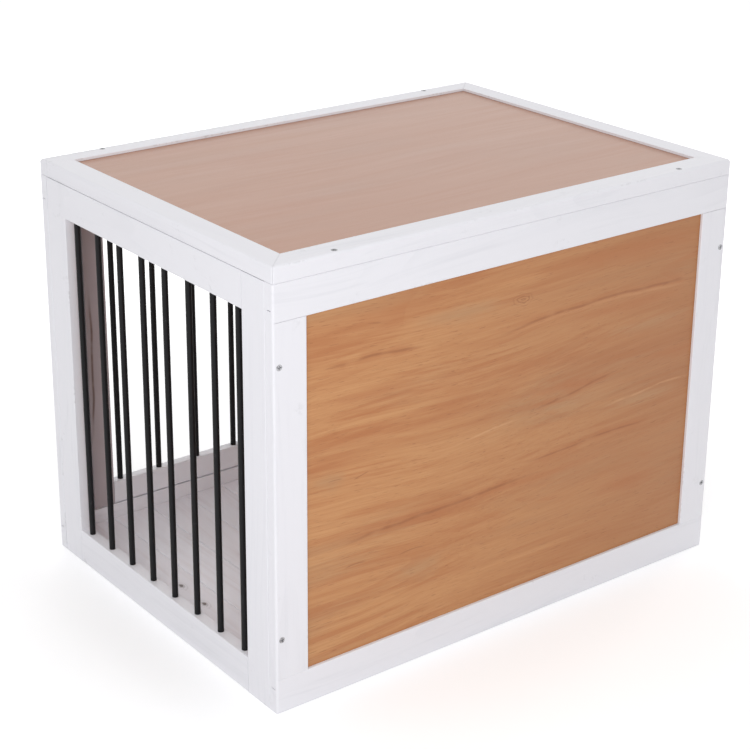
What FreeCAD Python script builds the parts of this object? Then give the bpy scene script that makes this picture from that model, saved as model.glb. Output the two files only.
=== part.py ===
# Pet crate: a softwood frame crate with barred ends, a panelled long side, a pair of barred doors
# in the other long side, a screwed-down panelled lid and a floor of tongued and grooved boards.
# Millimetres. Origin on the ground under the middle of the crate, X along the crate, Y across it, Z up.
# The panelled side faces -Y and the doors face +Y. Left is -X and right is +X.
import FreeCAD
import Part
import math
import os

# Carcass
length = 635.0
depth = 467.0
side_height = 475.0
stock_width = 40.0
stock_thickness = 14.0
arris = 1.0
corner_round = 2.5

# Panels and the grooves that hold them
panel_thickness = 6.0
panel_play = 0.2
panel_end_gap = 1.0
groove_lip = 3.5
groove_depth = 12.5

# Stub tenons, as thick as the panels
tenon_end_gap = 1.0
tenon_shoulder = 5.0

# Barred ends
end_bottom_rail_width = 42.0
end_top_gap = 0.5
end_side_gap = 0.3
bar_diameter = 7.0
bar_seat = 10.0
bar_play = 0.1
end_bar_count = 8
end_bar_margin = 15.5

# Lid
lid_thickness = 18.0
lid_stock_width = 29.0
lid_lip = 3.0
lid_groove_depth = 9.0
lid_round = 3.5
mitre_gap = 0.2

# Floor
board_width = 53.0
board_thickness = 10.0
board_gap = 0.4
board_bevel = 0.8
least_board_width = 16.0
tongue_length = 4.0
tongue_thickness = 3.0
tongue_play = 0.2
floor_end_gap = 0.5
batten_height = 12.0
batten_width = 20.0

# Doors and the post that they close on
post_width = 50.0
door_stock_width = 28.5
door_thickness = 14.0
door_gap = 1.5
door_arris = 1.5
door_bar_count = 4
door_bar_margin = 12.4

# Butt hinges on the outer face
hinge_height = 40.0
hinge_leaf_width = 18.0
hinge_leaf_thickness = 1.5
hinge_leaf_round = 2.0
hinge_from_door_end = 60.0
hinge_screw_from_middle = 10.0
knuckle_diameter = 6.0
knuckle_gap = 0.3
hinge_pin_diameter = 3.0
hinge_pin_play = 0.1
hinge_pin_head_diameter = 4.6
hinge_pin_head = 0.8

# Slide bolts on the outer face
bolt_diameter = 5.0
bolt_play = 0.3
bolt_above_middle = 50.0
bolt_tail_seat = 3.0
bolt_tip_chamfer = 0.8
bolt_plate_edge = 0.75
bolt_plate_height = 24.0
bolt_plate_thickness = 1.5
plate_screw_from_middle = 8.0
strap_width = 6.5
strap_wall = 1.2
strap_round = 2.0
keeper_width = 10.0
keeper_inset = 1.0
knob_stem_diameter = 3.0
knob_stem_length = 4.0
knob_stem_play = 0.1
knob_diameter = 8.0
knob_length = 5.0
knob_round = 1.2

# Countersunk screws
screw_diameter = 3.5
screw_head_diameter = 7.0
screw_length = 40.0
small_screw_diameter = 2.5
small_screw_head_diameter = 4.8
small_screw_length = 11.0
screw_play = 0.1
recess_width = 0.16
recess_length = 0.62
recess_depth = 0.14
frame_screw_from_end = 86.5
lid_screw_from_end = 78.0

# Places that several pieces share
half_length = length / 2
half_depth = depth / 2
outer_y = -half_depth
inner_y = outer_y + stock_thickness
end_inner_x = -half_length + stock_thickness
groove_width = panel_thickness + panel_play
groove_y = outer_y + groove_lip
tenon_length = groove_depth - tenon_end_gap
opening_bottom = stock_width
opening_top = side_height - stock_width
opening_x = -half_length + stock_width
end_top = side_height - end_top_gap
floor_top = batten_height + board_thickness
past = 5.0
same_place = 1e-6
parallel_slack = 0.01

x_axis = FreeCAD.Vector(1, 0, 0)
y_axis = FreeCAD.Vector(0, 1, 0)
z_axis = FreeCAD.Vector(0, 0, 1)
centre = FreeCAD.Vector(0, 0, 0)


def box(x0, x1, y0, y1, z0, z1):
    return Part.makeBox(x1 - x0, y1 - y0, z1 - z0, FreeCAD.Vector(x0, y0, z0))


def edges_along(shape, axis):
    def runs(edge):
        straight = edge.Curve.TypeId == "Part::GeomLine"
        return straight and abs(edge.tangentAt(edge.FirstParameter).dot(axis)) > 1 - parallel_slack
    return [edge for edge in shape.Edges if runs(edge)]


def eased(x0, x1, y0, y1, z0, z1, axis, radius):
    # A length of stock with its four long edges rounded over.
    blank = box(x0, x1, y0, y1, z0, z1)
    return blank.makeFillet(radius, edges_along(blank, axis))


def rod(diameter, start, direction, reach):
    return Part.makeCylinder(diameter / 2, reach, start, direction)


def mirrored_x(shape):
    return shape.mirror(centre, x_axis)


def mirrored_y(shape):
    return shape.mirror(centre, y_axis)


def group(shapes):
    return shapes[0] if len(shapes) == 1 else Part.makeCompound(shapes)


def spread(first, last, count):
    step = (last - first) / (count - 1)
    return [first + step * i for i in range(count)]


# Screws

def screw(head, direction, diameter, head_diameter, reach):
    # Countersunk screw: its flat head lies at the point and its shank runs along the direction.
    # The driver's cross is sunk in the head.
    cone_height = (head_diameter - diameter) / 2
    cone = Part.makeCone(head_diameter / 2, diameter / 2, cone_height)
    shank = Part.makeCylinder(diameter / 2, reach - cone_height, FreeCAD.Vector(0, 0, cone_height))
    half = head_diameter * recess_length / 2
    arm = head_diameter * recess_width / 2
    sunk = head_diameter * recess_depth
    cross = box(-half, half, -arm, arm, -past, sunk).fuse(box(-arm, arm, -half, half, -past, sunk))
    body = cone.fuse(shank).removeSplitter().cut(cross)
    body.Placement = FreeCAD.Placement(head, FreeCAD.Rotation(z_axis, direction))
    return body


def screw_hole(head, direction, diameter, head_diameter, reach):
    # The room that a screw takes: its own outline, larger by the play.
    cone_height = (head_diameter - diameter) / 2
    rim = (head_diameter + screw_play) / 2
    bore = (diameter + screw_play) / 2
    cone = Part.makeCone(rim, bore, cone_height)
    shank = Part.makeCylinder(bore, reach + screw_play - cone_height, FreeCAD.Vector(0, 0, cone_height))
    mouth = Part.makeCylinder(rim, past, FreeCAD.Vector(0, 0, -past))
    room = cone.fuse([shank, mouth])
    room.Placement = FreeCAD.Placement(head, FreeCAD.Rotation(z_axis, direction))
    return room


def big_screw(maker, head, direction):
    return maker(head, direction, screw_diameter, screw_head_diameter, screw_length)


def small_screw(maker, head, direction):
    return maker(head, direction, small_screw_diameter, small_screw_head_diameter, small_screw_length)


def frame_screws(maker):
    # Through the long sides' stiles into the edges of the end frames.
    made = []
    for side in (-1, 1):
        for end in (-1, 1):
            for height in (frame_screw_from_end, side_height - frame_screw_from_end):
                place = FreeCAD.Vector(end * (half_length - stock_thickness / 2), side * half_depth, height)
                made.append(big_screw(maker, place, y_axis * -side))
    return made


def lid_screws(maker):
    # Down through the lid into the top rails of the long sides.
    made = []
    for side in (-1, 1):
        for end in (-1, 1):
            place = FreeCAD.Vector(
                end * (half_length - lid_screw_from_end),
                side * (half_depth - stock_thickness / 2),
                side_height + lid_thickness,
            )
            made.append(big_screw(maker, place, z_axis * -1))
    return made


frame_screw_holes = frame_screws(screw_hole)
lid_screw_holes = lid_screws(screw_hole)
carcass = eased(
    -half_length, half_length, -half_depth, half_depth, 0, side_height, z_axis, corner_round
)
parts = {}


# Panelled long side: rails right through, stiles stub-tenoned into the panel groove

def long_rail(bottom):
    blank = eased(-half_length, half_length, outer_y, inner_y, bottom, bottom + stock_width, x_axis, arris)
    return blank.common(carcass)


def long_stile(tenon_width):
    # Stile at the left end of a long side, with a stub tenon at each end flush with its outer edge.
    blank = eased(
        -half_length, opening_x, outer_y, inner_y, opening_bottom, opening_top, z_axis, arris
    ).common(carcass)
    tenon = box(
        -half_length,
        -half_length + tenon_width,
        groove_y + panel_play / 2,
        groove_y + panel_play / 2 + panel_thickness,
        opening_bottom - tenon_length,
        opening_top + tenon_length,
    )
    return blank.fuse(tenon).removeSplitter()


def slot(x0, x1, z0, z1):
    # The panel groove's width, anywhere along the long side at -Y.
    return box(x0, x1, groove_y, groove_y + groove_width, z0, z1)


top_groove = slot(-half_length - past, half_length + past, opening_top - past, opening_top + groove_depth)
bottom_groove = slot(
    -half_length - past, half_length + past, opening_bottom - groove_depth, opening_bottom + past
)
stile_groove = slot(opening_x - groove_depth, opening_x + past, -past, side_height + past)

panel_stile = long_stile(stock_width - groove_depth).cut(stile_groove)
parts["panel_side_top_rail"] = long_rail(opening_top).cut([top_groove] + lid_screw_holes)
parts["panel_side_bottom_rail"] = long_rail(0).cut(bottom_groove)
parts["panel_side_left_stile"] = panel_stile.cut(frame_screw_holes)
parts["panel_side_right_stile"] = mirrored_x(panel_stile).cut(frame_screw_holes)
panel_reach = groove_depth - panel_end_gap
parts["side_panel"] = box(
    opening_x - panel_reach,
    -opening_x + panel_reach,
    groove_y + panel_play / 2,
    groove_y + panel_play / 2 + panel_thickness,
    opening_bottom - groove_depth,
    opening_top + panel_reach,
)


# Door side: the same frame with mortises in place of the groove, and a post between the doors

post_tenon = post_width / 2 - tenon_shoulder
door_stile = long_stile(stock_width)
door_rail_mortises = []
for mortise_x0, mortise_x1 in (
    (-half_length - past, opening_x),
    (-post_tenon - panel_play / 2, post_tenon + panel_play / 2),
    (-opening_x, half_length + past),
):
    door_rail_mortises.append(slot(mortise_x0, mortise_x1, opening_top - past, opening_top + groove_depth))
    door_rail_mortises.append(
        slot(mortise_x0, mortise_x1, opening_bottom - groove_depth, opening_bottom + past)
    )
post = eased(
    -post_width / 2, post_width / 2, outer_y, inner_y, opening_bottom, opening_top, z_axis, arris
)
post_tenons = box(
    -post_tenon,
    post_tenon,
    groove_y + panel_play / 2,
    groove_y + panel_play / 2 + panel_thickness,
    opening_bottom - tenon_length,
    opening_top + tenon_length,
)
parts["door_side_top_rail"] = mirrored_y(long_rail(opening_top).cut(door_rail_mortises)).cut(lid_screw_holes)
parts["door_side_bottom_rail"] = mirrored_y(long_rail(0).cut(door_rail_mortises))
door_side_left_stile = mirrored_y(door_stile).cut(frame_screw_holes)
door_side_right_stile = mirrored_x(mirrored_y(door_stile)).cut(frame_screw_holes)
door_side_post = mirrored_y(post.fuse(post_tenons).removeSplitter())


# Barred frames: stiles the full height, rails stub-tenoned between them, bars let into the rails

def tenoned_rail(y0, y1, z0, z1, thickness, radius):
    # Rail of a barred frame that lies in the plane x = 0, with a tenon at each end.
    half = thickness / 2
    blank = eased(-half, half, y0, y1, z0, z1, y_axis, radius)
    tenon = box(
        -panel_thickness / 2,
        panel_thickness / 2,
        y0 - tenon_length,
        y1 + tenon_length,
        z0 + tenon_shoulder,
        z1 - tenon_shoulder,
    )
    return blank.fuse(tenon).removeSplitter()


def rail_mortise(y0, y1, z0, z1):
    # The room for both tenons of such a rail.
    return box(
        -groove_width / 2,
        groove_width / 2,
        y0 - groove_depth,
        y1 + groove_depth,
        z0 + tenon_shoulder - panel_play / 2,
        z1 - tenon_shoulder + panel_play / 2,
    )


def barred_frame(y0, y1, z0, z1, thickness, stile, bottom_rail, top_rail, bar_count, margin, radius):
    # A frame in the plane x = 0. Gives its two stiles, two rails and the bars.
    half = thickness / 2
    open_y0 = y0 + stile
    open_y1 = y1 - stile
    open_z0 = z0 + bottom_rail
    open_z1 = z1 - top_rail
    mortises = [
        rail_mortise(open_y0, open_y1, z0, open_z0),
        rail_mortise(open_y0, open_y1, open_z1, z1),
    ]
    low_stile = eased(-half, half, y0, open_y0, z0, z1, z_axis, radius).cut(mortises)
    high_stile = eased(-half, half, open_y1, y1, z0, z1, z_axis, radius).cut(mortises)
    bars = []
    holes = []
    for y in spread(open_y0 + margin, open_y1 - margin, bar_count):
        foot = FreeCAD.Vector(0, y, open_z0 - bar_seat)
        reach = open_z1 - open_z0 + 2 * bar_seat
        bars.append(rod(bar_diameter, foot, z_axis, reach))
        holes.append(rod(bar_diameter + bar_play, foot, z_axis, reach + bar_play))
    low_rail = tenoned_rail(open_y0, open_y1, z0, open_z0, thickness, radius).cut(holes)
    high_rail = tenoned_rail(open_y0, open_y1, open_z1, z1, thickness, radius).cut(holes)
    return low_stile, high_stile, low_rail, high_rail, group(bars)


end_edge_y = inner_y + end_side_gap
end_pieces = barred_frame(
    end_edge_y, -end_edge_y, 0, end_top, stock_thickness, stock_width, end_bottom_rail_width, stock_width,
    end_bar_count, end_bar_margin, arris,
)
end_names = ("panel_stile", "door_stile", "bottom_rail", "top_rail", "bars")
for piece_name, piece in zip(end_names, end_pieces):
    piece.translate(FreeCAD.Vector(-half_length + stock_thickness / 2, 0, 0))
    for hand, placed in (("left", piece), ("right", mirrored_x(piece))):
        if piece_name.endswith("stile"):
            placed = placed.cut(frame_screw_holes)
        parts[hand + "_end_" + piece_name] = placed
parts["frame_screws"] = group(frame_screws(screw))


# Lid: four mitred rails round a sunk panel

lid_bottom = side_height
lid_top = side_height + lid_thickness
lid_blank = eased(
    -half_length, half_length, -half_depth, half_depth, lid_bottom, lid_top, z_axis, corner_round
)


def rim_edges(shape, height):
    return [edge for edge in shape.Edges if all(abs(v.Z - height) < same_place for v in edge.Vertexes)]


lid_blank = lid_blank.makeFillet(lid_round, rim_edges(lid_blank, lid_top))
lid_blank = lid_blank.makeFillet(arris, rim_edges(lid_blank, lid_bottom))
window_x = half_length - lid_stock_width
window_y = half_depth - lid_stock_width
lid_window = box(-window_x, window_x, -window_y, window_y, lid_bottom - past, lid_top + past)
lid_groove_top = lid_top - lid_lip
lid_groove = box(
    -window_x - lid_groove_depth,
    window_x + lid_groove_depth,
    -window_y - lid_groove_depth,
    window_y + lid_groove_depth,
    lid_groove_top - groove_width,
    lid_groove_top,
)
lid_ring = lid_blank.cut([lid_window, lid_groove] + lid_screw_holes)


def mitred(points):
    # Stretch of the lid's frame inside an outline drawn on the ground plane.
    corners = [FreeCAD.Vector(x, y, lid_bottom - past) for x, y in points]
    face = Part.Face(Part.makePolygon(corners + corners[:1]))
    return lid_ring.common(face.extrude(FreeCAD.Vector(0, 0, lid_thickness + 2 * past)))


# The mitres start at the corners of the lid and run at 45 degrees past its window.
reach = lid_stock_width + past
slack = mitre_gap / math.sqrt(2)
short_end = [
    (-half_length - past, -half_depth - past + slack),
    (-half_length + reach, -half_depth + reach + slack),
    (-half_length + reach, half_depth - reach - slack),
    (-half_length - past, half_depth + past - slack),
]
long_edge = [
    (-half_length - past + slack, -half_depth - past),
    (half_length + past - slack, -half_depth - past),
    (half_length - reach - slack, -half_depth + reach),
    (-half_length + reach + slack, -half_depth + reach),
]
lid_end_rail = mitred(short_end)
lid_long_rail = mitred(long_edge)
parts["lid_left_rail"] = lid_end_rail
parts["lid_right_rail"] = mirrored_x(lid_end_rail)
parts["lid_panel_side_rail"] = lid_long_rail
parts["lid_door_side_rail"] = mirrored_y(lid_long_rail)
lid_panel_reach = lid_groove_depth - panel_end_gap
parts["lid_panel"] = box(
    -window_x - lid_panel_reach,
    window_x + lid_panel_reach,
    -window_y - lid_panel_reach,
    window_y + lid_panel_reach,
    lid_groove_top - groove_width,
    lid_groove_top - panel_play,
)
parts["lid_screws"] = group(lid_screws(screw))


# Floor: tongued and grooved boards across the crate, on battens that stand on the ground

def floor_board(x0, x1, first, last):
    # Board with its groove on the left and its tongue on the right.
    # The upper long edges are bevelled, and the first and last boards have plain outer edges.
    y1 = -inner_y - floor_end_gap
    left = x0 if first else x0 + board_gap / 2
    right = x1 if last else x1 - board_gap / 2
    body = box(left, right, -y1, y1, batten_height, floor_top)
    upper = [edge for edge in edges_along(body, y_axis) if abs(edge.Vertexes[0].Z - floor_top) < same_place]
    body = body.makeChamfer(board_bevel, upper)
    middle = batten_height + board_thickness / 2
    if not last:
        half = tongue_thickness / 2
        body = body.fuse(box(right - past, right + tongue_length, -y1, y1, middle - half, middle + half))
    if not first:
        half = (tongue_thickness + tongue_play) / 2
        sunk = left - board_gap + tongue_length + tongue_play
        body = body.cut(box(left - past, sunk, -y1, y1, middle - half, middle + half))
    return body.removeSplitter()


def board_edges(start, end):
    # Full boards from the left, and the last one ripped to fit.
    # A rest too narrow for a board is shared by the last two.
    full = int((end - start) / board_width)
    edges = [start + board_width * i for i in range(full + 1)]
    rest = end - edges[-1]
    if rest < least_board_width:
        edges[-1] = end
        edges[-2] = (edges[-3] + end) / 2
    else:
        edges.append(end)
    return edges


marks = board_edges(end_inner_x, -end_inner_x)
last_board = len(marks) - 2
parts["floor_boards"] = group([
    floor_board(marks[i], marks[i + 1], i == 0, i == last_board) for i in range(last_board + 1)
])
batten_places = {
    "panel_side": inner_y + batten_width / 2,
    "centre": 0,
    "door_side": -inner_y - batten_width / 2,
}
for place_name, y in batten_places.items():
    parts["floor_batten_" + place_name] = box(
        end_inner_x, -end_inner_x, y - batten_width / 2, y + batten_width / 2, 0, batten_height
    )


# Doors: the left one is made, and the right one is its mirror image

door_x0 = opening_x + door_gap
door_x1 = -post_width / 2 - door_gap
door_bottom = opening_bottom + door_gap
door_top = opening_top - door_gap
bolt_z = (door_bottom + door_top) / 2 + bolt_above_middle
face_y = half_depth
hinge_heights = (door_bottom + hinge_from_door_end, door_top - hinge_from_door_end)
knuckle_radius = knuckle_diameter / 2
pin_x = opening_x + door_gap / 2
pin_y = face_y + knuckle_radius


def hinge_leaf(side, middle):
    # Side -1 is the leaf on the frame, with the outer knuckles. Side 1 is the door's, with the inner one.
    z0 = middle - hinge_height / 2
    z1 = middle + hinge_height / 2
    third = hinge_height / 3
    outer_knuckles = [(z0, z0 + third - knuckle_gap / 2), (z1 - third + knuckle_gap / 2, z1)]
    inner_knuckle = [(z0 + third + knuckle_gap / 2, z1 - third - knuckle_gap / 2)]
    own, other = (outer_knuckles, inner_knuckle) if side < 0 else (inner_knuckle, outer_knuckles)
    far_x = pin_x + side * hinge_leaf_width
    plate = box(min(pin_x, far_x), max(pin_x, far_x), face_y, face_y + hinge_leaf_thickness, z0, z1)
    corners = [edge for edge in edges_along(plate, y_axis) if abs(edge.Vertexes[0].X - far_x) < same_place]
    plate = plate.makeFillet(hinge_leaf_round, corners)
    clear = knuckle_radius + knuckle_gap
    for low, high in other:
        plate = plate.cut(box(
            pin_x - clear, pin_x + clear, face_y - past, face_y + past, low - knuckle_gap, high + knuckle_gap
        ))
    knuckles = [
        rod(knuckle_diameter, FreeCAD.Vector(pin_x, pin_y, low), z_axis, high - low) for low, high in own
    ]
    bore = rod(
        hinge_pin_diameter + hinge_pin_play, FreeCAD.Vector(pin_x, pin_y, z0 - past), z_axis,
        hinge_height + 2 * past,
    )
    return plate.fuse(knuckles).removeSplitter().cut([bore] + hinge_screws(screw_hole, side, middle))


def hinge_screws(maker, side, middle):
    x = pin_x + side * (knuckle_radius + hinge_leaf_width) / 2
    y = face_y + hinge_leaf_thickness
    places = [FreeCAD.Vector(x, y, middle + up * hinge_screw_from_middle) for up in (-1, 1)]
    return [small_screw(maker, place, y_axis * -1) for place in places]


def hinge_pin(middle):
    foot = middle - hinge_height / 2
    pin = rod(hinge_pin_diameter, FreeCAD.Vector(pin_x, pin_y, foot), z_axis, hinge_height)
    heads = [
        rod(hinge_pin_head_diameter, FreeCAD.Vector(pin_x, pin_y, z), z_axis, hinge_pin_head)
        for z in (foot - hinge_pin_head, foot + hinge_height)
    ]
    return pin.fuse(heads).removeSplitter()


bolt_y = face_y + bolt_plate_thickness + bolt_play + bolt_diameter / 2
bolt_plate_x0 = door_x1 - door_stock_width + bolt_plate_edge
bolt_plate_x1 = door_x1 - bolt_plate_edge
bolt_travel = bolt_plate_x1 - bolt_plate_x0 - 2 * strap_width - knob_stem_diameter - 2 * bolt_play
keeper_x0 = -post_width / 2 + keeper_inset
keeper_x1 = keeper_x0 + keeper_width


def strap(x0, x1):
    # Square arch over the bolt, with its outer edges bent round.
    inner = bolt_diameter / 2 + bolt_play
    outer = inner + strap_wall
    foot_y = face_y + bolt_plate_thickness
    crown_y = bolt_y + outer
    arch = box(x0, x1, foot_y, crown_y, bolt_z - outer, bolt_z + outer)
    bends = [edge for edge in edges_along(arch, x_axis) if abs(edge.Vertexes[0].Y - crown_y) < same_place]
    room = box(x0, x1, foot_y, bolt_y + inner, bolt_z - inner, bolt_z + inner)
    return arch.makeFillet(strap_round, bends).cut(room)


def bolt_base(x0, x1):
    half = bolt_plate_height / 2
    plate = box(x0, x1, face_y, face_y + bolt_plate_thickness, bolt_z - half, bolt_z + half)
    return plate.makeFillet(hinge_leaf_round, edges_along(plate, y_axis))


def plate_screws(maker, x0, x1):
    x = (x0 + x1) / 2
    y = face_y + bolt_plate_thickness
    places = [FreeCAD.Vector(x, y, bolt_z + up * plate_screw_from_middle) for up in (-1, 1)]
    return [small_screw(maker, place, y_axis * -1) for place in places]


def round_edges(shape):
    return [edge for edge in shape.Edges if edge.Curve.TypeId == "Part::GeomCircle"]


knob_foot = FreeCAD.Vector(
    bolt_plate_x0 + strap_width + bolt_play + knob_stem_diameter / 2, bolt_y, bolt_z
)


def slide_bolt():
    # The bolt drawn back: its tip is level with the plate's end and its tail stands out behind,
    # so that the tail is still in its strap when the bolt is shot.
    tail_x = bolt_plate_x0 + strap_width - bolt_tail_seat - bolt_travel
    tail = FreeCAD.Vector(tail_x, bolt_y, bolt_z)
    shank = rod(bolt_diameter, tail, x_axis, bolt_plate_x1 - tail.x)
    shank = shank.makeChamfer(bolt_tip_chamfer, round_edges(shank))
    return shank.cut(rod(knob_stem_diameter + knob_stem_play, knob_foot, y_axis, bolt_diameter))


def bolt_knob():
    # Turned knob, its stem let into the bolt and moving between the two straps.
    stem_reach = bolt_diameter / 2 + knob_stem_length
    stem = rod(knob_stem_diameter, knob_foot, y_axis, stem_reach)
    head = rod(knob_diameter, knob_foot + y_axis * stem_reach, y_axis, knob_length)
    return stem.fuse(head.makeFillet(knob_round, round_edges(head))).removeSplitter()


frame_hinge_holes = [hole for z in hinge_heights for hole in hinge_screws(screw_hole, -1, z)]
door_hinge_holes = [hole for z in hinge_heights for hole in hinge_screws(screw_hole, 1, z)]
keeper_holes = plate_screws(screw_hole, keeper_x0, keeper_x1)
bolt_plate_holes = plate_screws(screw_hole, bolt_plate_x0, bolt_plate_x1)

hinge_stile, latch_stile, low_rail, high_rail, door_bars = [
    piece.rotated(centre, z_axis, -90).translated(FreeCAD.Vector(0, face_y - door_thickness / 2, 0))
    for piece in barred_frame(
        door_x0, door_x1, door_bottom, door_top, door_thickness, door_stock_width, door_stock_width,
        door_stock_width, door_bar_count, door_bar_margin, door_arris,
    )
]
left_pieces = {
    "door_hinge_stile": hinge_stile.cut(door_hinge_holes),
    "door_latch_stile": latch_stile.cut(bolt_plate_holes),
    "door_bottom_rail": low_rail,
    "door_top_rail": high_rail,
    "door_bars": door_bars,
    "door_hinge_leaves": group([hinge_leaf(1, z) for z in hinge_heights]),
    "hinge_frame_leaves": group([hinge_leaf(-1, z) for z in hinge_heights]),
    "hinge_pins": group([hinge_pin(z) for z in hinge_heights]),
    "bolt_plate": bolt_base(bolt_plate_x0, bolt_plate_x1)
    .fuse([
        strap(bolt_plate_x0, bolt_plate_x0 + strap_width),
        strap(bolt_plate_x1 - strap_width, bolt_plate_x1),
    ])
    .removeSplitter()
    .cut(bolt_plate_holes),
    "bolt": slide_bolt(),
    "bolt_knob": bolt_knob(),
    "bolt_keeper": bolt_base(keeper_x0, keeper_x1)
    .fuse(strap(keeper_x0, keeper_x1))
    .removeSplitter()
    .cut(keeper_holes),
    "door_screws": group(
        [made for z in hinge_heights for made in hinge_screws(screw, 1, z)]
        + plate_screws(screw, bolt_plate_x0, bolt_plate_x1)
    ),
}
for piece_name, piece in left_pieces.items():
    parts["left_" + piece_name] = piece
    parts["right_" + piece_name] = mirrored_x(piece)
crate_screws = [made for z in hinge_heights for made in hinge_screws(screw, -1, z)]
crate_screws += plate_screws(screw, keeper_x0, keeper_x1)
parts["hardware_screws"] = group(crate_screws + [mirrored_x(made) for made in crate_screws])
parts["door_side_left_stile"] = door_side_left_stile.cut(frame_hinge_holes)
parts["door_side_right_stile"] = door_side_right_stile.cut([mirrored_x(hole) for hole in frame_hinge_holes])
parts["door_side_post"] = door_side_post.cut(keeper_holes + [mirrored_x(hole) for hole in keeper_holes])

os.makedirs("parts", exist_ok=True)
for node, shape in parts.items():
    assert shape.isValid(), node
    shape.exportStep("parts/" + node + ".step")
    print(node, len(shape.Solids), "solid(s)", round(shape.Volume / 1000, 2), "cm3")
print("bolt travel", bolt_travel, "hinge pin", pin_x, pin_y)
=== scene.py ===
# Pet crate: white painted softwood frame, brown wood-grain panels, black bars, washed floor boards.
# Metres, on the model's own axes: X along the crate, Y across it, Z up, panelled side at -Y, doors at +Y.
import math
import bpy
from mathutils import Matrix, Vector


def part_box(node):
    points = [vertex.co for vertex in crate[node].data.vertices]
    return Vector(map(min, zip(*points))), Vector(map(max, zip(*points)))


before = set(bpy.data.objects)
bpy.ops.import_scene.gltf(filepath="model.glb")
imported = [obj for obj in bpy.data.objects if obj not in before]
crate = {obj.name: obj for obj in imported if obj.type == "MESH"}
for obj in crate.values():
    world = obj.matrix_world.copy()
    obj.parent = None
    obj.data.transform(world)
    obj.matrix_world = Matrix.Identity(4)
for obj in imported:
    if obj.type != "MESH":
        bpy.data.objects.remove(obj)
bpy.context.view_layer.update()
print("frame loaded:", len(crate), "nodes")

noiseMiddle = 0.5  # of a noise's values
noiseSpan = (0.3, 0.7)  # where most of them lie


# Shader helpers

def fillSockets(tree, made, sockets):
    # each input gets a link from another node's output, or a value
    for name, value in sockets.items():
        if isinstance(value, bpy.types.NodeSocket):
            tree.links.new(value, made.inputs[name])
        else:
            made.inputs[name].default_value = value
    return made


def node(tree, kind, sockets, **settings):
    made = tree.nodes.new("ShaderNode" + kind)
    for name, value in settings.items():
        setattr(made, name, value)
    return fillSockets(tree, made, sockets)


def maths(tree, operation, first, second=0.0, third=0.0):
    return node(tree, "Math", {0: first, 1: second, 2: third}, operation=operation).outputs[0]


def times(tree, first, second):
    return maths(tree, "MULTIPLY", first, second)


def vectorMaths(tree, operation, first, second=(0.0, 0.0, 0.0)):
    return node(tree, "VectorMath", {0: first, 1: second}, operation=operation).outputs["Vector"]


def scaledBy(tree, vector, factor):
    sockets = {0: vector, "Scale": factor}
    return node(tree, "VectorMath", sockets, operation="SCALE").outputs["Vector"]


def lengthOf(tree, vector):
    return node(tree, "VectorMath", {0: vector}, operation="LENGTH").outputs["Value"]


def splitUp(tree, vector):
    return node(tree, "SeparateXYZ", {0: vector}).outputs


def remap(tree, value, low, high, toLow=0.0, toHigh=1.0):
    sockets = {"Value": value, "From Min": low, "From Max": high, "To Min": toLow, "To Max": toHigh}
    return node(tree, "MapRange", sockets).outputs["Result"]


def softStep(tree, value, low, high):
    sockets = {"Value": value, "From Min": low, "From Max": high}
    return node(tree, "MapRange", sockets, interpolation_type="SMOOTHSTEP").outputs["Result"]


def mixColour(tree, share, first, second):
    return node(tree, "Mix", {0: share, 6: first, 7: second}, data_type="RGBA").outputs[2]


def stretched(tree, vector, scale, shift=(0.0, 0.0, 0.0)):
    return node(tree, "Mapping", {"Vector": vector, "Scale": scale, "Location": shift}).outputs["Vector"]


def noise(tree, vector, detail=2.0, rough=0.5):
    sockets = {"Vector": vector, "Scale": 1.0, "Detail": detail, "Roughness": rough}
    return node(tree, "TexNoise", sockets).outputs["Fac"]


def objectPlace(tree):
    return node(tree, "TexCoord", {}).outputs["Object"]


def bump(tree, height, strength, distance):
    sockets = {"Height": height, "Strength": strength, "Distance": distance}
    return node(tree, "Bump", sockets).outputs["Normal"]


def newGroup(name, inputs, outputs):
    # a shader group with typed sockets; gives its tree, its inputs and its end node
    tree = bpy.data.node_groups.new(name, "ShaderNodeTree")
    for label, kind in inputs:
        tree.interface.new_socket(label, in_out="INPUT", socket_type="NodeSocket" + kind)
    for label, kind in outputs:
        tree.interface.new_socket(label, in_out="OUTPUT", socket_type="NodeSocket" + kind)
    return tree, tree.nodes.new("NodeGroupInput").outputs, tree.nodes.new("NodeGroupOutput")


def useGroup(tree, group, sockets):
    made = tree.nodes.new("ShaderNodeGroup")
    made.node_tree = group
    return fillSockets(tree, made, sockets).outputs


def newMaterial(name):
    made = bpy.data.materials.new(name)
    made.use_nodes = True
    tree = made.node_tree
    tree.nodes.clear()
    shader = tree.nodes.new("ShaderNodeBsdfPrincipled")
    out = tree.nodes.new("ShaderNodeOutputMaterial")
    tree.links.new(shader.outputs[0], out.inputs["Surface"])
    return made, tree, shader


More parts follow.
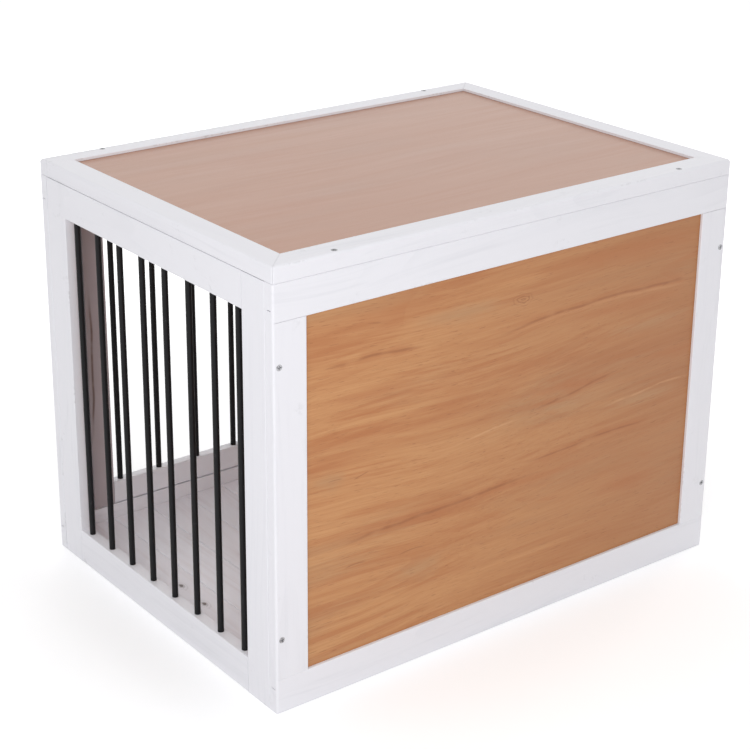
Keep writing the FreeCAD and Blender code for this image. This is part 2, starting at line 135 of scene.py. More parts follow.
# Wood figure, shared by the panels, the paint and the floor. The grain runs along X of the vector it reads.
# Each layer is a noise drawn out along the grain: its cells per metre, its start, and its finer noises.
woodLook = {
    "wander": {"scale": (2.4, 6.0, 6.0), "detail": 1.0},
    "cloud": {"scale": (2.6, 16.0, 16.0), "shift": (0.0, 0.0, 0.0), "detail": 3.0, "rough": 0.55},
    "band": {"scale": (3.0, 46.0, 46.0), "shift": (2.6, 5.3, 0.9), "detail": 3.0, "rough": 0.55},
    "narrow": {"scale": (4.2, 150.0, 150.0), "shift": (0.0, 3.1, 1.7), "detail": 4.0, "rough": 0.6},
    "calm": {"scale": (5.5, 26.0, 26.0), "shift": (1.0, 9.2, 4.3), "detail": 1.0, "rough": 0.5},
    "slope": {"scale": (1.5, 9.5, 9.5), "shift": (4.0, 2.2, 6.1), "detail": 1.0, "rough": 0.4},
    "fade": {"scale": (5.5, 26.0, 26.0), "shift": (7.0, 1.2, 3.3), "detail": 2.0, "rough": 0.5},
    "fibre": {"scale": (17.0, 640.0, 640.0), "shift": (0.0, 8.3, 5.9), "detail": 2.0, "rough": 0.5},
    "dashes": {"scale": (60.0, 1050.0, 1050.0), "shift": (0.0, 1.9, 7.7), "detail": 1.0, "rough": 0.5},
    "bandShare": 0.75,
    "calmRange": (0.35, 0.65),
    "narrowShares": (0.25, 1.15),  # of the narrow streaks at the two ends of that range
    "ringCount": 15.0,
    "ringRise": (0.55, 0.97),
    "ringDrop": (1.0, 0.975),
    "fadeRange": (0.46, 0.68),
    "poreRange": (0.64, 0.74),
}


def buildWoodFigure(look):
    labels = ("Cloud", "Streak", "Ring", "Fibre", "Pore")
    tree, given, end = newGroup(
        "woodFigure", [("Vector", "Vector"), ("Wander", "Float")], [(label, "Float") for label in labels]
    )
    # the grain wanders: each place is moved by a slow noise before the layers are read
    slow = stretched(tree, given["Vector"], look["wander"]["scale"])
    sockets = {"Vector": slow, "Scale": 1.0, "Detail": look["wander"]["detail"]}
    drift = node(tree, "TexNoise", sockets).outputs["Color"]
    centred = vectorMaths(tree, "SUBTRACT", drift, (noiseMiddle,) * 3)
    place = vectorMaths(tree, "ADD", given["Vector"], scaledBy(tree, centred, given["Wander"]))

    def layer(name):
        kind = look[name]
        spread = stretched(tree, place, kind["scale"], kind["shift"])
        return noise(tree, spread, kind["detail"], kind["rough"])

    # streaks: wide bands and narrow ones, which calm down in places
    wide = maths(tree, "SUBTRACT", layer("band"), noiseMiddle)
    narrow = maths(tree, "SUBTRACT", layer("narrow"), noiseMiddle)
    narrow = times(tree, narrow, remap(tree, layer("calm"), *look["calmRange"], *look["narrowShares"]))
    streak = maths(tree, "MULTIPLY_ADD", wide, look["bandShare"], narrow)
    streak = maths(tree, "ADD", streak, noiseMiddle)
    # growth rings: contour lines of a slow noise, each rising gently and ending at a sharp dark edge
    saw = maths(tree, "FRACT", times(tree, layer("slope"), look["ringCount"]))
    edge = times(tree, softStep(tree, saw, *look["ringRise"]), softStep(tree, saw, *look["ringDrop"]))
    ring = times(tree, edge, softStep(tree, layer("fade"), *look["fadeRange"]))
    pore = softStep(tree, layer("dashes"), *look["poreRange"])
    for label, socket in zip(labels, (layer("cloud"), streak, ring, layer("fibre"), pore)):
        tree.links.new(socket, end.inputs[label])
    return tree


# A knot: rings round a centre, r = |place - centre| / size + wobble (2 noise - 1).
# Each pair is the r where a mask begins and the r where it is full.
knotLook = {
    "unevenScale": (0.9, 0.9, 0.9),
    "unevenDetail": 3.0,
    "core": (0.55, 0.25),
    "rings": (1.5, 0.5),
    "patch": (1.25, 0.1),
    "ringWave": 13.0,  # radians for each r
    "waveRange": (-0.2, 1.0),
}


def buildKnot(look):
    tree, given, end = newGroup(
        "woodKnot",
        [("Vector", "Vector"), ("Centre", "Vector"), ("Size", "Vector"), ("Wobble", "Float")],
        [("Core", "Float"), ("Rings", "Float"), ("Patch", "Float")],
    )
    away = vectorMaths(tree, "SUBTRACT", given["Vector"], given["Centre"])
    scaled = vectorMaths(tree, "DIVIDE", away, given["Size"])
    uneven = noise(tree, stretched(tree, scaled, look["unevenScale"]), look["unevenDetail"])
    swing = maths(tree, "SUBTRACT", times(tree, uneven, 2.0), 1.0)
    radius = maths(tree, "MULTIPLY_ADD", swing, given["Wobble"], lengthOf(tree, scaled))
    wave = maths(tree, "SINE", times(tree, radius, look["ringWave"]))
    rings = times(tree, remap(tree, wave, *look["waveRange"]), softStep(tree, radius, *look["rings"]))
    tree.links.new(softStep(tree, radius, *look["core"]), end.inputs["Core"])
    tree.links.new(rings, end.inputs["Rings"])
    tree.links.new(softStep(tree, radius, *look["patch"]), end.inputs["Patch"])
    return tree


# A line of the grain, from one place to another with t = 0 to 1 along it:
# z = from.z + (to.z - from.z) t + 4 bend t (1 - t), a little uneven, broken and fading at both ends
lineLook = {
    "unevenScale": (14.0, 0.0, 3.0),
    "unevenDetail": 1.0,
    "unevenReach": (-0.004, 0.004),
    "edge": (1.0, 0.1),  # widths away from the line's middle, where it begins and where it is full
    "endShare": 0.25,  # of its length, fading at each end
    "breakScale": (30.0, 0.0, 30.0),
    "breakRange": (0.22, 0.56),
}


def buildGrainLine(look):
    tree, given, end = newGroup(
        "grainLine",
        [("Vector", "Vector"), ("From", "Vector"), ("To", "Vector"), ("Bend", "Float"), ("Width", "Float")],
        [("Mask", "Float")],
    )
    here, first, last = [splitUp(tree, given[label]) for label in ("Vector", "From", "To")]
    run = maths(tree, "SUBTRACT", last["X"], first["X"])
    part = maths(tree, "DIVIDE", maths(tree, "SUBTRACT", here["X"], first["X"]), run)
    rise = times(tree, maths(tree, "SUBTRACT", last["Z"], first["Z"]), part)
    left = maths(tree, "SUBTRACT", 1.0, part)
    arch = times(tree, times(tree, part, left), times(tree, given["Bend"], 4.0))
    uneven = noise(tree, stretched(tree, given["Vector"], look["unevenScale"]), look["unevenDetail"])
    height = maths(tree, "ADD", maths(tree, "ADD", first["Z"], rise), arch)
    height = maths(tree, "ADD", height, remap(tree, uneven, 0.0, 1.0, *look["unevenReach"]))
    away = maths(tree, "ABSOLUTE", maths(tree, "SUBTRACT", here["Z"], height))
    line = softStep(tree, maths(tree, "DIVIDE", away, given["Width"]), *look["edge"])
    starts = softStep(tree, part, 0.0, look["endShare"])
    stops = softStep(tree, part, 1.0, 1.0 - look["endShare"])
    breaks = noise(tree, stretched(tree, given["Vector"], look["breakScale"]))
    whole = softStep(tree, breaks, *look["breakRange"])
    mask = times(tree, times(tree, line, times(tree, starts, stops)), whole)
    tree.links.new(mask, end.inputs["Mask"])
    return tree


# Sparse rub marks: patches of a fine noise where a coarse noise is high
scuffLook = {
    "coarseDetail": 1.0,
    "coarseRange": (0.64, 0.78),
    "fineScale": (7.0, 7.0, 7.0),
    "fineDetail": 3.0,
    "fineRough": 0.6,
    "fineRange": (0.52, 0.66),
}


def buildScuffs(look):
    tree, given, end = newGroup(
        "scuffMarks", [("Vector", "Vector"), ("Scale", "Float")], [("Mask", "Float")]
    )
    place = scaledBy(tree, given["Vector"], given["Scale"])
    coarse = softStep(tree, noise(tree, place, look["coarseDetail"]), *look["coarseRange"])
    fine = noise(tree, stretched(tree, place, look["fineScale"]), look["fineDetail"], look["fineRough"])
    mask = times(tree, coarse, softStep(tree, fine, *look["fineRange"]))
    tree.links.new(mask, end.inputs["Mask"])
    return tree


# Worn edges of a squared length of stock: a, b, c are the distances to the nearer faces of its box,
# and the middle one of the three is the distance to its nearest edge
edgeLook = {
    "rim": (0.0026, 0.0006),
    "patchScale": (17.0, 17.0, 17.0),
    "patchRange": (0.54, 0.70),
    "nickScale": (230.0, 230.0, 230.0),
    "nickDetail": 3.0,
    "nickRange": (0.50, 0.60),
}


def buildEdgeWear(look):
    tree, given, end = newGroup(
        "edgeWear", [("Vector", "Vector"), ("Low", "Vector"), ("High", "Vector")], [("Mask", "Float")]
    )
    below = vectorMaths(tree, "SUBTRACT", given["Vector"], given["Low"])
    above = vectorMaths(tree, "SUBTRACT", given["High"], given["Vector"])
    a, b, c = splitUp(tree, vectorMaths(tree, "MINIMUM", below, above))
    larger = maths(tree, "MINIMUM", maths(tree, "MAXIMUM", a, b), c)
    middle = maths(tree, "MAXIMUM", maths(tree, "MINIMUM", a, b), larger)
    patches = noise(tree, stretched(tree, given["Vector"], look["patchScale"]))
    nicks = noise(tree, stretched(tree, given["Vector"], look["nickScale"]), look["nickDetail"])
    patches = softStep(tree, patches, *look["patchRange"])
    worn = times(tree, patches, softStep(tree, nicks, *look["nickRange"]))
    tree.links.new(times(tree, softStep(tree, middle, *look["rim"]), worn), end.inputs["Mask"])
    return tree


woodFigure = buildWoodFigure(woodLook)
woodKnot = buildKnot(knotLook)
grainLine = buildGrainLine(lineLook)
scuffMarks = buildScuffs(scuffLook)
edgeWear = buildEdgeWear(edgeLook)
print("shader groups built:", len(bpy.data.node_groups))

# turns that lay the figure's grain along an axis of the crate
grainTurns = {"x": (0.0, 0.0, 0.0), "y": (0.0, 0.0, math.pi / 2), "z": (0.0, math.pi / 2, 0.0)}


def alongGrain(tree, place, axis, shift=(0.0, 0.0, 0.0)):
    sockets = {"Vector": place, "Rotation": grainTurns[axis], "Location": shift}
    return node(tree, "Mapping", sockets).outputs["Vector"]


def grainMark(tree, vector, given, widths=1.0):
    sockets = {"Vector": vector, "From": given["from"], "To": given["to"]}
    sockets |= {"Bend": given["bend"], "Width": given["width"] * widths}
    return useGroup(tree, grainLine, sockets)["Mask"]


# Brown wood-grain laminate: what both sheets share
laminateLook = {
    "broadScale": (0.55, 0.38, 0.38),
    "mossRange": (0.56, 0.30),
    "honeyRange": (0.54, 0.34),
    "rustRange": (0.50, 0.72),
    "fibreRange": (0.30, 0.75),
    "patchShares": {"moss": 0.60, "honey": 0.50, "rust": 0.50},
    "markShares": {"light": 0.36, "band": 0.50, "dark": 0.42, "swirl": 0.45},
    "bandWidth": 4.0,  # of the warm band round a dark line, in widths of the line
    "fibreRelief": 0.4,
    "bumpStrength": 0.20,
    "bumpDistance": 0.0002,
    "ior": 1.5,
    "specular": 0.3,
}
# the lid's sheet, calm and a little pink
lidLook = {
    "tan": (0.412, 0.193, 0.110, 1.0),
    "honey": (0.476, 0.236, 0.131, 1.0),
    "moss": (0.352, 0.194, 0.128, 1.0),
    "rust": (0.385, 0.142, 0.071, 1.0),
    "line": (0.240, 0.090, 0.044, 1.0),
    "strength": 0.34,
    "wander": 0.05,
    "wobble": 0.45,
    "shares": {"cloud": 0.55, "broad": 0.10, "streak": 0.20, "ring": 0.22, "fibre": 0.18, "pore": 0.60},
    "patches": {
        "moss": [
            {"centre": (0.185, -0.080, 0.490), "size": (0.110, 0.055, 0.050)},
            {"centre": (0.020, 0.060, 0.490), "size": (0.090, 0.040, 0.050)},
            {"centre": (-0.100, -0.060, 0.490), "size": (0.060, 0.030, 0.050)},
        ],
        "honey": [],
        "rust": [
            {"centre": (-0.200, -0.080, 0.490), "size": (0.070, 0.035, 0.050)},
            {"centre": (0.070, -0.020, 0.490), "size": (0.090, 0.025, 0.050)},
            {"centre": (-0.120, 0.100, 0.490), "size": (0.080, 0.030, 0.050)},
        ],
    },
    "lightLines": [],
    "darkLines": [],
    "ticks": [],
    "swirls": [],
    "roughness": (0.34, 0.42),
    "coat": 0.70,
    "coatRoughness": 0.26,
}
# and the side's sheet, with the figure that shows on it
sideLook = {
    "tan": (0.514, 0.238, 0.093, 1.0),
    "honey": (0.575, 0.290, 0.120, 1.0),
    "moss": (0.440, 0.245, 0.118, 1.0),
    "rust": (0.415, 0.145, 0.048, 1.0),
    "line": (0.225, 0.070, 0.022, 1.0),
    # a darker tan, for the painted shade on the sheet's right
    "deep": (0.375, 0.160, 0.062, 1.0),
    "pale": (0.650, 0.365, 0.175, 1.0),
    "strength": 1.0,
    "wander": 0.045,
    "wobble": 0.75,
    "paintedShade": {"reach": (-0.25, 0.35), "share": 0.70},  # along X, the sheet is darker to the right: painted shade, where the light falls off across it
    "shares": {"cloud": 0.80, "broad": 0.62, "streak": 0.56, "ring": 0.40, "fibre": 0.32, "pore": 0.34},
    "patches": {
        "moss": [
            {"centre": (-0.078, -0.230, 0.391), "size": (0.060, 0.02, 0.013)},
            {"centre": (0.070, -0.230, 0.249), "size": (0.065, 0.02, 0.011)},
            {"centre": (-0.128, -0.230, 0.108), "size": (0.036, 0.02, 0.018)},
            {"centre": (0.215, -0.230, 0.316), "size": (0.075, 0.02, 0.010)},
            {"centre": (0.195, -0.230, 0.226), "size": (0.070, 0.02, 0.010)},
            {"centre": (-0.248, -0.230, 0.246), "size": (0.024, 0.02, 0.013)},
        ],
        "honey": [
            {"centre": (-0.225, -0.230, 0.342), "size": (0.055, 0.02, 0.014)},
            {"centre": (-0.170, -0.230, 0.222), "size": (0.080, 0.02, 0.008)},
            {"centre": (0.000, -0.230, 0.412), "size": (0.045, 0.02, 0.006)},
            {"centre": (0.020, -0.230, 0.077), "size": (0.090, 0.02, 0.006)},
            {"centre": (-0.160, -0.230, 0.300), "size": (0.080, 0.02, 0.008)},
        ],
        "rust": [
            {"centre": (0.170, -0.230, 0.410), "size": (0.130, 0.02, 0.016)},
            {"centre": (0.250, -0.230, 0.272), "size": (0.040, 0.02, 0.009)},
            {"centre": (0.185, -0.230, 0.122), "size": (0.050, 0.02, 0.014)},
            {"centre": (-0.190, -0.230, 0.330), "size": (0.070, 0.02, 0.010)},
            {"centre": (0.080, -0.230, 0.270), "size": (0.060, 0.02, 0.009)},
            {"centre": (0.170, -0.230, 0.347), "size": (0.110, 0.02, 0.010)},
            {"centre": (0.030, -0.230, 0.170), "size": (0.120, 0.02, 0.006)},
        ],
    },
    "lightLines": [
        {"from": (-0.095, 0.0, 0.242), "to": (0.030, 0.0, 0.252), "bend": 0.0, "width": 0.0020},
        {"from": (0.130, 0.0, 0.228), "to": (0.290, 0.0, 0.237), "bend": 0.002, "width": 0.0022},
        {"from": (-0.030, 0.0, 0.348), "to": (0.280, 0.0, 0.351), "bend": 0.011, "width": 0.0030},
    ],
    "darkLines": [
        {"from": (-0.040, 0.0, 0.351), "to": (0.300, 0.0, 0.355), "bend": 0.011, "width": 0.0024},
        {"from": (0.020, 0.0, 0.252), "to": (0.170, 0.0, 0.272), "bend": 0.0, "width": 0.0020},
        {"from": (0.010, 0.0, 0.191), "to": (0.230, 0.0, 0.195), "bend": 0.002, "width": 0.0018},
        {"from": (-0.250, 0.0, 0.167), "to": (0.060, 0.0, 0.176), "bend": 0.002, "width": 0.0026},
        {"from": (-0.260, 0.0, 0.371), "to": (-0.120, 0.0, 0.366), "bend": 0.003, "width": 0.0024},
    ],
    "ticks": [
        {"from": (-0.252, 0.0, 0.246), "to": (-0.230, 0.0, 0.246), "bend": 0.001, "width": 0.0011},
        {"from": (-0.218, 0.0, 0.240), "to": (-0.196, 0.0, 0.243), "bend": 0.0, "width": 0.0011},
        {"from": (-0.230, 0.0, 0.141), "to": (-0.198, 0.0, 0.138), "bend": 0.002, "width": 0.0012},
        {"from": (-0.160, 0.0, 0.134), "to": (-0.108, 0.0, 0.1345), "bend": 0.001, "width": 0.0012},
    ],
    "swirls": [{"centre": (0.009, -0.230, 0.388), "size": (0.0125, 0.02, 0.0065)}],
    "roughness": (0.32, 0.42),
    "coat": 0.20,
    "coatRoughness": 0.24,
}


def makeLaminate(name, look, both):
    made, tree, shader = newMaterial(name)
    place = objectPlace(tree)
    larger = stretched(tree, place, both["broadScale"])
    figure = useGroup(tree, woodFigure, {"Vector": place, "Wander": look["wander"]})
    broad = useGroup(tree, woodFigure, {"Vector": larger, "Wander": look["wander"]})  # drawn larger
    shares = look["shares"]
    markShares = both["markShares"]

    def spot(given):
        sockets = {"Vector": place, "Centre": given["centre"], "Size": given["size"]}
        return useGroup(tree, woodKnot, sockets | {"Wobble": look["wobble"]})

    # masks, shares and shades, laid over the tan one after another
    layers = [
        (softStep(tree, figure["Cloud"], *both["mossRange"]), shares["cloud"], "moss"),
        (softStep(tree, broad["Streak"], *both["honeyRange"]), shares["broad"], "honey"),
        (softStep(tree, broad["Streak"], *both["rustRange"]), shares["broad"], "rust"),
        (softStep(tree, figure["Streak"], *both["honeyRange"]), shares["streak"], "honey"),
        (softStep(tree, figure["Streak"], *both["rustRange"]), shares["streak"], "rust"),
    ]
    # painted shade: the sheet is mixed towards a darker tan along X, for light falling off to the right
    if "paintedShade" in look:
        along = splitUp(tree, place)["X"]
        layers.append((softStep(tree, along, *look["paintedShade"]["reach"]), look["paintedShade"]["share"], "deep"))
    for shade, share in both["patchShares"].items():
        layers += [(spot(given)["Patch"], share, shade) for given in look["patches"][shade]]
    layers.append((figure["Ring"], shares["ring"], "rust"))
    layers.append((softStep(tree, figure["Fibre"], *both["fibreRange"]), shares["fibre"], "rust"))
    for given in look["lightLines"]:
        layers.append((grainMark(tree, place, given), markShares["light"], "pale"))
    for given in look["darkLines"]:
        layers.append((grainMark(tree, place, given, both["bandWidth"]), markShares["band"], "rust"))
    for given in look["darkLines"] + look["ticks"]:
        layers.append((grainMark(tree, place, given), markShares["dark"], "line"))
    for given in look["swirls"]:
        layers.append((spot(given)["Rings"], markShares["swirl"], "line"))
    layers.append((figure["Pore"], shares["pore"], "line"))
    colour = look["tan"]
    for mask, share, shade in layers:
        colour = mixColour(tree, times(tree, mask, share * look["strength"]), colour, look[shade])
    relief = maths(tree, "SUBTRACT", times(tree, figure["Fibre"], both["fibreRelief"]), figure["Pore"])
    fillSockets(tree, shader, {
        "Base Color": colour,
        "Roughness": remap(tree, figure["Streak"], *noiseSpan, *look["roughness"]),
        "Normal": bump(tree, relief, both["bumpStrength"], both["bumpDistance"]),
        "IOR": both["ior"],
        "Specular IOR Level": both["specular"],
        "Coat Weight": look["coat"],
        "Coat Roughness": look["coatRoughness"],
    })
    return made


# White satin paint over softwood: the grain shows faintly, edges are nicked, a few rub marks.
# Each length of stock has its own stretch of grain.
paintLook = {
    "white": (0.800, 0.793, 0.830, 1.0),
    "grey": (0.655, 0.655, 0.695, 1.0),
    "rubbed": (0.430, 0.425, 0.440, 1.0),
    "worn": (0.370, 0.350, 0.345, 1.0),
    "wander": 0.06,
    "grainShift": (0.37, 0.61, 0.23),
    "streakRange": (0.50, 0.80),
    "shares": {"streak": 0.30, "ring": 0.16, "scuff": 0.24, "edge": 0.24, "thinAndShade": 0.85, "vein": 0.80},
    "scuffScale": 26.0,
    "roughness": (0.34, 0.50),
    "fibreRelief": 0.30,
    "edgeRelief": 0.5,
    "bumpStrength": 0.28,
    "bumpDistance": 0.0003,
    "ior": 1.48,
    "veined": "left_door_hinge_stile",
    # a dark vein of the grain inside that stile, along Z and across -X
    "vein": {"from": (0.126, 0.0, 0.2738), "to": (0.338, 0.0, 0.2705), "bend": -0.0026, "width": 0.0026},
    "veinShade": (0.130, 0.070, 0.050, 1.0),
    "thinPaintAndShade": (0.375, 0.312, 0.320, 1.0),  # the inside of that stile is darker and browner: partly thin paint with the wood showing, partly painted shade
    "veinedFace": 0.2215,  # both show nearer the crate's middle than this
}


def longestAxis(name):
    low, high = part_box(name)
    size = list(high - low)
    return "xyz"[size.index(max(size))]


def makePaint(look, name, count):
    made, tree, shader = newMaterial("whitePaint." + name)
    place = objectPlace(tree)
    axis = longestAxis(name)
    shares = look["shares"]
    grain = alongGrain(tree, place, axis, tuple(count * step for step in look["grainShift"]))
    figure = useGroup(tree, woodFigure, {"Vector": grain, "Wander": look["wander"]})
    scuffs = useGroup(tree, scuffMarks, {"Vector": place, "Scale": look["scuffScale"]})
    low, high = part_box(name)
    edges = useGroup(tree, edgeWear, {"Vector": place, "Low": tuple(low), "High": tuple(high)})
    share = times(tree, softStep(tree, figure["Streak"], *look["streakRange"]), shares["streak"])
    share = maths(tree, "ADD", share, times(tree, figure["Ring"], shares["ring"]))
    colour = mixColour(tree, share, look["white"], look["grey"])
    colour = mixColour(tree, times(tree, scuffs["Mask"], shares["scuff"]), colour, look["rubbed"])
    colour = mixColour(tree, times(tree, edges["Mask"], shares["edge"]), colour, look["worn"])
    if name == look["veined"]:
        line = grainMark(tree, alongGrain(tree, place, axis), look["vein"])
        inside = maths(tree, "LESS_THAN", splitUp(tree, place)["Y"], look["veinedFace"])
        # thin paint and painted shade: the stile's inner face is mixed towards a dark brownish grey
        colour = mixColour(tree, times(tree, inside, shares["thinAndShade"]), colour, look["thinPaintAndShade"])
        line = times(tree, times(tree, line, inside), shares["vein"])
        colour = mixColour(tree, line, colour, look["veinShade"])
    relief = maths(tree, "ADD", figure["Streak"], times(tree, figure["Fibre"], look["fibreRelief"]))
    relief = maths(tree, "SUBTRACT", relief, times(tree, edges["Mask"], look["edgeRelief"]))
    fillSockets(tree, shader, {
        "Base Color": colour,
        "Roughness": remap(tree, figure["Cloud"], *noiseSpan, *look["roughness"]),
        "Normal": bump(tree, relief, look["bumpStrength"], look["bumpDistance"]),
        "IOR": look["ior"],
    })
    return made


# White-washed softwood of the floor boards, each board with its own tone, and of the battens
washLook = {
    "white": (0.915, 0.915, 0.965, 1.0),
    "bare": (0.745, 0.692, 0.712, 1.0),
    "knot": (0.080, 0.048, 0.034, 1.0),
    "wander": 0.07,
    "boardWidth": 0.053,
    "boardStart": -0.3035,  # the floor's left edge
    "streakRange": (0.46, 0.82),
    "shares": {"streak": 0.45, "ring": 0.30, "board": 0.16, "knotCore": 0.85, "knotRings": 0.35},
    "knots": [(-0.274, 0.023, 0.022), (-0.275, -0.028, 0.022), (0.13, -0.1, 0.022), (0.22, 0.06, 0.022)],
    "knotSize": (0.0052, 0.0095, 0.02),
    "knotWobble": 0.45,
    "fibreRelief": 0.5,
    "bumpStrength": 0.30,
    "bumpDistance": 0.0003,
    "roughness": 0.58,
}


def makeWash(look, axis):
    made, tree, shader = newMaterial("washedWood" + axis.upper())
    place = objectPlace(tree)
    shares = look["shares"]
    past = maths(tree, "SUBTRACT", splitUp(tree, place)["X"], look["boardStart"])
    board = maths(tree, "FLOOR", maths(tree, "DIVIDE", past, look["boardWidth"]))
    chance = node(tree, "TexWhiteNoise", {"W": board}, noise_dimensions="1D").outputs
    shifted = vectorMaths(tree, "ADD", alongGrain(tree, place, axis), chance["Color"])
    figure = useGroup(tree, woodFigure, {"Vector": shifted, "Wander": look["wander"]})
    share = times(tree, softStep(tree, figure["Streak"], *look["streakRange"]), shares["streak"])
    share = maths(tree, "ADD", share, times(tree, figure["Ring"], shares["ring"]))
    share = maths(tree, "ADD", share, times(tree, chance["Value"], shares["board"]))
    colour = mixColour(tree, share, look["white"], look["bare"])
    for centre in look["knots"]:
        sockets = {"Vector": place, "Centre": centre, "Size": look["knotSize"], "Wobble": look["knotWobble"]}
        knot = useGroup(tree, woodKnot, sockets)
        core = times(tree, knot["Core"], shares["knotCore"])
        dark = maths(tree, "MAXIMUM", core, times(tree, knot["Rings"], shares["knotRings"]))
        colour = mixColour(tree, dark, colour, look["knot"])
    relief = maths(tree, "ADD", figure["Streak"], times(tree, figure["Fibre"], look["fibreRelief"]))
    fillSockets(tree, shader, {
        "Base Color": colour,
        "Normal": bump(tree, relief, look["bumpStrength"], look["bumpDistance"]),
        "Roughness": look["roughness"],
    })
    return made


# Black powder coat: fine pebbling, a little duller in patches, rubbed in a few places
coatLook = {
    "bars": {"black": (0.005, 0.005, 0.006, 1.0), "pebble": 1500.0, "roughness": (0.42, 0.54)},
    "hardware": {"black": (0.013, 0.013, 0.014, 1.0), "pebble": 1900.0, "roughness": (0.34, 0.48)},
    "rubbed": (0.060, 0.060, 0.064, 1.0),
    "scuffScale": 90.0,
    "scuffShare": 0.45,
    "dullScale": (40.0, 40.0, 14.0),
    "dullDetail": 3.0,
    "bumpStrength": 0.25,
    "bumpDistance": 0.0002,
    "ior": 1.45,
    "specular": 0.28,
}


def makeCoat(name, look, kind):
    made, tree, shader = newMaterial(name)
    place = objectPlace(tree)
    pebble = noise(tree, stretched(tree, place, (kind["pebble"],) * 3))
    dull = noise(tree, stretched(tree, place, look["dullScale"]), look["dullDetail"])
    scuffs = useGroup(tree, scuffMarks, {"Vector": place, "Scale": look["scuffScale"]})
    rubbed = times(tree, scuffs["Mask"], look["scuffShare"])
    fillSockets(tree, shader, {
        "Base Color": mixColour(tree, rubbed, kind["black"], look["rubbed"]),
        "Roughness": remap(tree, dull, *noiseSpan, *kind["roughness"]),
        "Normal": bump(tree, pebble, look["bumpStrength"], look["bumpDistance"]),
        "IOR": look["ior"],
        "Specular IOR Level": look["specular"],
    })
    return made


# Zinc-plated screws, dulled
zincLook = {
    "zinc": (0.52, 0.52, 0.54, 1.0),
    "dull": (0.30, 0.30, 0.31, 1.0),
    "dullScale": (700.0, 700.0, 700.0),
    "dullDetail": 3.0,
    "dullRange": (0.45, 0.65),
    "roughness": (0.30, 0.52),
}


def makeZinc(look):
    made, tree, shader = newMaterial("zincScrew")
    dull = noise(tree, stretched(tree, objectPlace(tree), look["dullScale"]), look["dullDetail"])
    fillSockets(tree, shader, {
        "Base Color": mixColour(tree, softStep(tree, dull, *look["dullRange"]), look["zinc"], look["dull"]),
        "Roughness": remap(tree, dull, *noiseSpan, *look["roughness"]),
        "Metallic": 1.0,
    })
    return made


stock = [name for name in crate if name.endswith(("rail", "stile", "post"))]
paints = {name: makePaint(paintLook, name, count) for count, name in enumerate(sorted(stock))}
washes = {axis: makeWash(washLook, axis) for axis in "xy"}
sideLaminate = makeLaminate("sideLaminate", sideLook, laminateLook)
lidLaminate = makeLaminate("lidLaminate", lidLook, laminateLook)
barCoat = makeCoat("blackBarCoat", coatLook, coatLook["bars"])
hardwareCoat = makeCoat("blackHardwareCoat", coatLook, coatLook["hardware"])
zincScrew = makeZinc(zincLook)
print("materials made:", len(bpy.data.materials))


def finishOf(name):
    # the material of a CAD node, from what the node is
    if name in paints:
        return paints[name]
    if name.endswith("panel"):
        return lidLaminate if name.startswith("lid") else sideLaminate
    if name.endswith("bars"):
        return barCoat
    if name.endswith("screws"):
        return zincScrew
    if name == "floor_boards":
        return washes["y"]
    if name.startswith("floor_batten"):
        return washes["x"]
    return hardwareCoat


for name, piece in crate.items():
    piece.data.materials.clear()
    piece.data.materials.append(finishOf(name))
print("finishes given to the crate's nodes")

# Camera: matched to the photograph's edges
cameraLook = {
    "eye": (-1.2374, -1.5805, 1.0619),
    "forward": (0.55805, 0.75053, -0.35395),
    "right": (0.80301, -0.59596, 0.00235),
    "lens": 87.615,
    "sensor": 36.0,
    "shift": (0.045, -0.08),
}


def addCamera(look):
    data = bpy.data.cameras.new("photoCamera")
    data.sensor_width = look["sensor"]
    data.lens = look["lens"]
    data.shift_x, data.shift_y = look["shift"]
    made = bpy.data.objects.new("photoCamera", data)
    bpy.context.scene.collection.objects.link(made)
    forward = Vector(look["forward"]).normalized()
    right = Vector(look["right"]).normalized()
    turn = Matrix((right, right.cross(forward), -forward)).transposed().to_4x4()
    made.matrix_world = Matrix.Translation(look["eye"]) @ turn
    bpy.context.scene.camera = made


# Studio: a pale floor, a white world and soft boxes
studioLook = {
    "floorSize": 60.0,
    "floorWhite": (0.88, 0.88, 0.885, 1.0),
    "floorRoughness": 0.9,
    "floorGlow": (0.24, 0.43),  # beside the crate, where its shadow falls, and further off
    "glowReach": (0.45, 1.40),
    "pureWhite": (1.0, 1.0, 1.0, 1.0),
    "skyLight": 0.66,
    "boxes": [
        {
            "name": "cameraBox", "place": (-1.35, -1.5, 1.0), "aim": (-0.15, -0.1, 0.25),
            "size": (1.0, 1.0), "power": 15.2, "colour": (0.975, 0.98, 1.0),
        },
        {
            "name": "lidBox", "place": (-0.45, -0.1, 2.2), "aim": (-0.05, 0.0, 0.49),
            "size": (1.4, 1.4), "power": 3.7, "colour": (1.0, 1.0, 1.0),
        },
        {
            "name": "doorBox", "place": (0.7, 2.2, 0.75), "aim": (0.0, 0.1, 0.18),
            "size": (1.4, 0.5), "power": 17.2, "colour": (1.0, 1.0, 1.0),
        },
        {
            "name": "endBox", "place": (2.0, 0.1, 1.00), "aim": (0.1, 0.0, 0.15),
            "size": (1.0, 0.6), "power": 9.4, "colour": (1.0, 1.0, 1.0),
        },
    ],
}


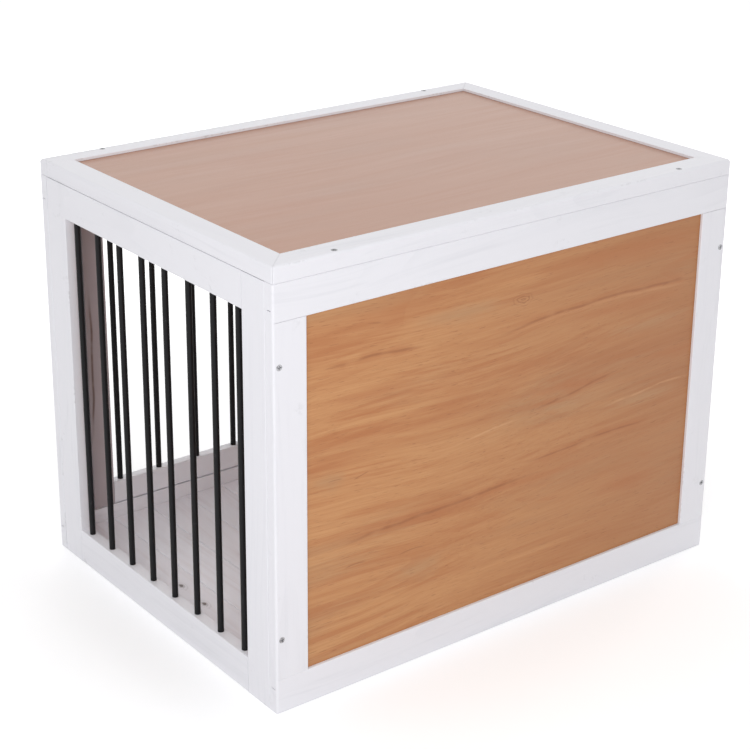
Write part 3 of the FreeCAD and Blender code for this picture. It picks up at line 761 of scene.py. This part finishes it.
def seenDirectly(tree):
    # 1 for rays that show the studio itself: from the camera, mirrored or through glass
    path = node(tree, "LightPath", {}).outputs
    both = maths(tree, "MAXIMUM", path["Is Camera Ray"], path["Is Glossy Ray"])
    return maths(tree, "MAXIMUM", both, path["Is Transmission Ray"])


def addFloor(look):
    half = look["floorSize"] / 2
    mesh = bpy.data.meshes.new("studioFloor")
    corners = [(-half, -half, 0.0), (half, -half, 0.0), (half, half, 0.0), (-half, half, 0.0)]
    mesh.from_pydata(corners, [], [(0, 1, 2, 3)])
    made = bpy.data.objects.new("studioFloor", mesh)
    bpy.context.scene.collection.objects.link(made)
    finish, tree, shader = newMaterial("studioFloorWhite")
    away = lengthOf(tree, objectPlace(tree))
    glow = remap(tree, softStep(tree, away, *look["glowReach"]), 0.0, 1.0, *look["floorGlow"])
    fillSockets(tree, shader, {
        "Base Color": look["floorWhite"],
        "Roughness": look["floorRoughness"],
        "Specular IOR Level": 0.0,
        "Emission Color": look["pureWhite"],
        "Emission Strength": times(tree, seenDirectly(tree), glow),
    })
    mesh.materials.append(finish)


def addSky(look):
    world = bpy.data.worlds.new("studioWorld")
    bpy.context.scene.world = world
    world.use_nodes = True
    tree = world.node_tree
    tree.nodes.clear()
    strength = remap(tree, seenDirectly(tree), 0.0, 1.0, look["skyLight"], 1.0)
    light = node(tree, "Background", {"Color": look["pureWhite"], "Strength": strength})
    out = tree.nodes.new("ShaderNodeOutputWorld")
    tree.links.new(light.outputs[0], out.inputs["Surface"])


def addSoftBox(look):
    data = bpy.data.lights.new(look["name"], "AREA")
    data.shape = "RECTANGLE"
    data.size, data.size_y = look["size"]
    data.energy = look["power"]
    data.color = look["colour"]
    made = bpy.data.objects.new(look["name"], data)
    bpy.context.scene.collection.objects.link(made)
    made.visible_glossy = False
    made.location = look["place"]
    aim = Vector(look["aim"]) - Vector(look["place"])
    made.rotation_euler = aim.to_track_quat("-Z", "Y").to_euler()


addCamera(cameraLook)
addFloor(studioLook)
addSky(studioLook)
for softBox in studioLook["boxes"]:
    addSoftBox(softBox)
bpy.context.scene.view_settings.view_transform = "Standard"
print("studio ready")
